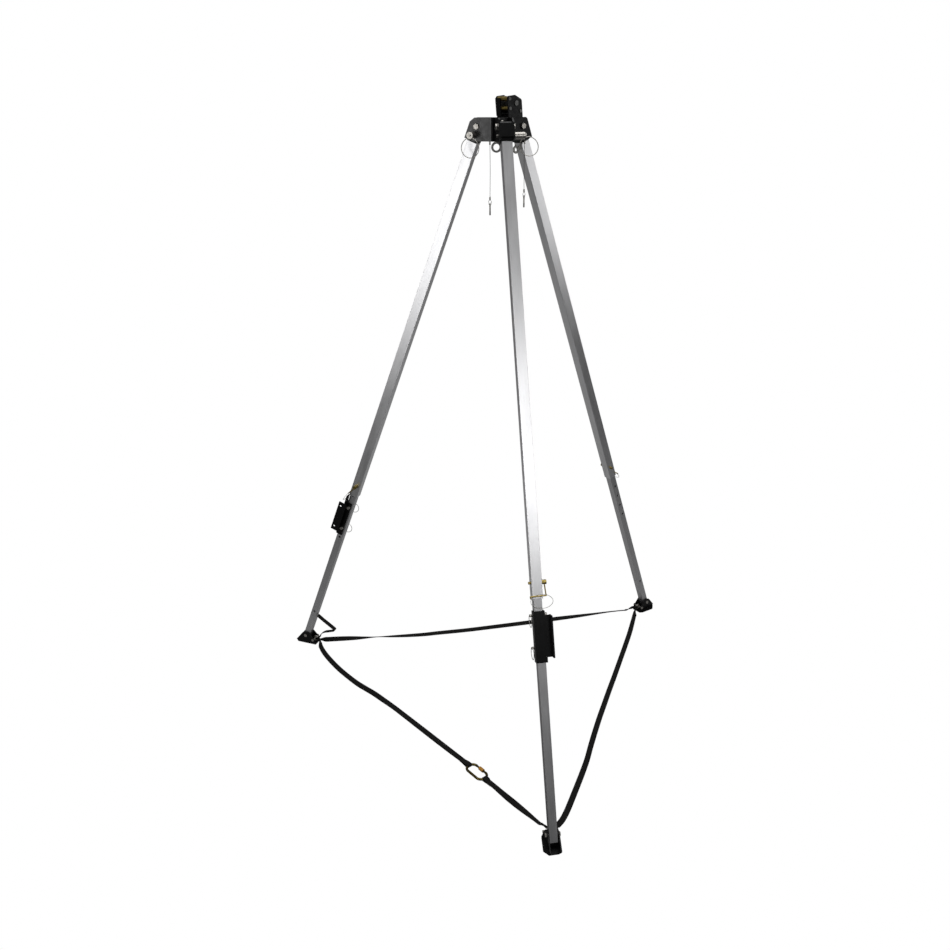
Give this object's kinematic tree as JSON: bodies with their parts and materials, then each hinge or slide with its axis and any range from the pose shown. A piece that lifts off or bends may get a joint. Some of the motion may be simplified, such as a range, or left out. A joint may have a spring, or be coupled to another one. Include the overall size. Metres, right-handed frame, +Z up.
{
  "type": "rescue tripod",
  "caption": "Folding rescue tripod with telescopic square legs, a black pivoting head with pulley block, pinned winch brackets, hinged feet and a foot strap with carabiner.",
  "frame": {"origin": "on the ground under the middle of the tripod's box", "axes": "+Z up; the front leg points to -Y and the strap run with the carabiner is on the -X side"},
  "size_m": [1.9756, 1.7142, 2.6585],
  "materials": {
    "black_paint": "semi-gloss black paint",
    "bright_aluminium": "satin mill finish",
    "grey_aluminium": "dull grey anodised",
    "steel": "zinc plated",
    "yellow_zinc": "yellow passivated zinc",
    "orange_anodised": "orange coating",
    "sheave": "moulded",
    "webbing": "woven black webbing"
  },
  "bodies": {
    "head": {"head_hub": "black_paint", "clevis_left": "black_paint", "clevis_front": "black_paint", "clevis_right": "black_paint", "head_bolts": "steel", "anchor_eye": "steel", "pulley_base": "black_paint", "pulley_cheeks": "black_paint", "pulley_spacers": "yellow_zinc", "pulley_bolts": "black_paint", "lanyard_left": "steel", "lanyard_right": "steel", "hitch_pins": "steel"},
    "lock_pin_left": {"lock_pin_left": "steel", "lock_ring_left": "steel"},
    "upper_leg_left": {"knuckle_left": "black_paint", "upper_tube_left": "bright_aluminium"},
    "adjust_pin_left": {"adjust_pin_left": "yellow_zinc"},
    "pin_bail_left": {"pin_bail_left": "yellow_zinc"},
    "foot_left": {"foot_shoe_left": "black_paint", "foot_bolt_left": "steel", "strap_ring_left": "steel"},
    "lock_pin_front": {"lock_pin_front": "steel", "lock_ring_front": "steel"},
    "upper_leg_front": {"knuckle_front": "black_paint", "upper_tube_front": "bright_aluminium"},
    "adjust_pin_front": {"adjust_pin_front": "yellow_zinc"},
    "pin_bail_front": {"pin_bail_front": "yellow_zinc"},
    "foot_front": {"foot_shoe_front": "black_paint", "foot_bolt_front": "steel", "strap_ring_front": "steel"},
    "lock_pin_right": {"lock_pin_right": "steel", "lock_ring_right": "steel"},
    "upper_leg_right": {"knuckle_right": "black_paint", "upper_tube_right": "bright_aluminium", "leg_eye": "steel"},
    "adjust_pin_right": {"adjust_pin_right": "yellow_zinc"},
    "pin_bail_right": {"pin_bail_right": "yellow_zinc"},
    "foot_right": {"foot_shoe_right": "black_paint", "foot_bolt_right": "steel", "strap_ring_right": "steel"},
    "lower_leg_left": {"lower_tube_left": "grey_aluminium", "winch_bracket_left": "black_paint", "bracket_pins_left": "steel", "bracket_rings_left": "steel", "strap_left": "webbing", "strap_tail": "webbing"},
    "lower_leg_front": {"lower_tube_front": "grey_aluminium", "winch_bracket_front": "black_paint", "bracket_pins_front": "steel", "bracket_rings_front": "steel", "strap_front": "webbing", "strap_front_right": "webbing"},
    "lower_leg_right": {"lower_tube_right": "grey_aluminium", "strap_right_left": "webbing"},
    "sheave_inner": {"sheave_inner": "sheave"},
    "sheave_outer": {"sheave_outer": "sheave"},
    "carabiner": {"carabiner_body": "yellow_zinc"},
    "carabiner_gate": {"carabiner_gate": "yellow_zinc"},
    "carabiner_sleeve": {"carabiner_sleeve": "orange_anodised"}
  },
  "joints": [
    {"name": "leg_left_fold", "type": "hinge", "parent": "head", "child": "upper_leg_left", "pos_m": [-0.07621, 0.31362, 2.54788], "axis": [-0.5, -0.866, 0], "range_deg": [0, 21.4], "deforming": ["strap_left", "strap_front", "strap_front_right", "strap_right_left", "strap_tail"]},
    {"name": "leg_front_fold", "type": "hinge", "parent": "head", "child": "upper_leg_front", "pos_m": [0, 0.18162, 2.54788], "axis": [1, 0, 0], "range_deg": [0, 21.4], "deforming": ["strap_left", "strap_front", "strap_front_right", "strap_right_left", "strap_tail"]},
    {"name": "leg_right_fold", "type": "hinge", "parent": "head", "child": "upper_leg_right", "pos_m": [0.07621, 0.31362, 2.54788], "axis": [-0.5, 0.866, 0], "range_deg": [0, 21.4], "deforming": ["strap_left", "strap_front", "strap_front_right", "strap_right_left", "strap_tail"]},
    {"name": "leg_left_extend", "type": "slide", "parent": "upper_leg_left", "child": "lower_leg_left", "axis": [-0.316, 0.1824, -0.9311], "range_m": [0, 0.372]},
    {"name": "leg_front_extend", "type": "slide", "parent": "upper_leg_front", "child": "lower_leg_front", "axis": [0, -0.3649, -0.9311], "range_m": [0, 0.372]},
    {"name": "leg_right_extend", "type": "slide", "parent": "upper_leg_right", "child": "lower_leg_right", "axis": [0.316, 0.1824, -0.9311], "range_m": [0, 0.372]},
    {"name": "foot_left_pivot", "type": "hinge", "parent": "lower_leg_left", "child": "foot_left", "pos_m": [-0.92465, 0.80347, 0.048], "axis": [-0.5, -0.866, 0], "range_deg": [-22, 20], "deforming": ["strap_left", "strap_right_left", "strap_tail"]},
    {"name": "foot_front_pivot", "type": "hinge", "parent": "lower_leg_front", "child": "foot_front", "pos_m": [0, -0.79807, 0.048], "axis": [1, 0, 0], "range_deg": [-22, 20], "deforming": ["strap_front", "strap_front_right"]},
    {"name": "foot_right_pivot", "type": "hinge", "parent": "lower_leg_right", "child": "foot_right", "pos_m": [0.92465, 0.80347, 0.048], "axis": [-0.5, 0.866, 0], "range_deg": [-22, 20], "deforming": ["strap_front_right", "strap_right_left"]},
    {"name": "lock_pin_left_pull", "type": "slide", "parent": "head", "child": "lock_pin_left", "axis": [-0.5, -0.866, 0], "range_m": [0, 0.07]},
    {"name": "lock_pin_front_pull", "type": "slide", "parent": "head", "child": "lock_pin_front", "axis": [1, 0, 0], "range_m": [0, 0.07]},
    {"name": "lock_pin_right_pull", "type": "slide", "parent": "head", "child": "lock_pin_right", "axis": [-0.5, 0.866, 0], "range_m": [0, 0.07]},
    {"name": "adjust_pin_left_pull", "type": "slide", "parent": "upper_leg_left", "child": "adjust_pin_left", "axis": [-0.5, -0.866, 0], "range_m": [0, 0.055]},
    {"name": "pin_bail_left_swing", "type": "hinge", "parent": "adjust_pin_left", "child": "pin_bail_left", "pos_m": [-0.63445, 0.59897, 0.95019], "axis": [0.5, 0.866, 0], "range_deg": [0, 110]},
    {"name": "adjust_pin_front_pull", "type": "slide", "parent": "upper_leg_front", "child": "adjust_pin_front", "axis": [1, 0, 0], "range_m": [0, 0.055]},
    {"name": "pin_bail_front_swing", "type": "hinge", "parent": "adjust_pin_front", "child": "pin_bail_front", "pos_m": [0.032, -0.44451, 0.95019], "axis": [-1, 0, 0], "range_deg": [0, 110]},
    {"name": "adjust_pin_right_pull", "type": "slide", "parent": "upper_leg_right", "child": "adjust_pin_right", "axis": [-0.5, 0.866, 0], "range_m": [0, 0.055]},
    {"name": "pin_bail_right_swing", "type": "hinge", "parent": "adjust_pin_right", "child": "pin_bail_right", "pos_m": [0.60245, 0.6544, 0.95019], "axis": [0.5, -0.866, 0], "range_deg": [0, 110]},
    {"name": "sheave_inner_spin", "type": "hinge", "parent": "head", "child": "sheave_inner", "pos_m": [0.04197, 0.29385, 2.62997], "axis": [-0.5, 0.866, 0], "continuous": true},
    {"name": "sheave_outer_spin", "type": "hinge", "parent": "head", "child": "sheave_outer", "pos_m": [0.04197, 0.29385, 2.62997], "axis": [-0.5, 0.866, 0], "continuous": true},
    {"name": "carabiner_draw", "type": "slide", "parent": "lower_leg_left", "child": "carabiner", "axis": [-0.626, 0.7798, 0], "range_m": [0, 1.24457]},
    {"name": "carabiner_gate_open", "type": "hinge", "parent": "carabiner", "child": "carabiner_gate", "pos_m": [-0.21003, -0.32865, 0.009], "axis": [0, 0, -1], "range_deg": [0, 22], "stiffness_Nm_per_rad": 0.06, "springref_deg": -34.38},
    {"name": "carabiner_sleeve_screw", "type": "slide", "parent": "carabiner_gate", "child": "carabiner_sleeve", "axis": [0.5, -0.866, 0], "range_m": [0, 0.01]}
  ],
  "couplings": [
    {"joint": "leg_front_fold", "follows": "leg_left_fold", "ratio": 1},
    {"joint": "leg_right_fold", "follows": "leg_left_fold", "ratio": 1},
    {"joint": "carabiner_draw", "follows": "leg_left_fold", "m_per_rad": 3.3322}
  ]
}
